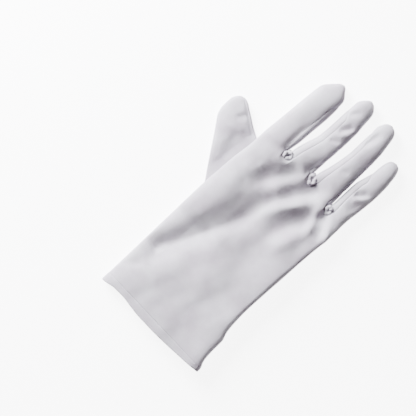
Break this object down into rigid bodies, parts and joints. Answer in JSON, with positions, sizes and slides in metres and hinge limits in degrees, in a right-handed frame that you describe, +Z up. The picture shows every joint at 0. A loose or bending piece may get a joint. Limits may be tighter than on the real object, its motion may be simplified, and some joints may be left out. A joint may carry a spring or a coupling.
{
  "type": "white dress glove",
  "caption": "Right-hand dress glove of smooth white cloth, lying palm down with its thumb turned out from under the hand, gussets between the fingers and an open wrist",
  "frame": {"origin": "under the middle of the glove's box, on the surface that it lies on", "axes": "+X towards the little finger, +Y towards the fingertips, +Z up, away from the surface"},
  "size_m": [0.1352, 0.2454, 0.0146],
  "materials": {
    "cloth": "smooth matt stretch nylon",
    "hem": "smooth matt stretch nylon, turned and stitched"
  },
  "bodies": {
    "root": {"back_panel": "cloth", "palm_panel": "cloth", "fourchette_index_middle": "cloth", "fourchette_middle_ring": "cloth", "fourchette_ring_little": "cloth", "thumb": "cloth", "cuff_hem": "hem"}
  },
  "joints": []
}
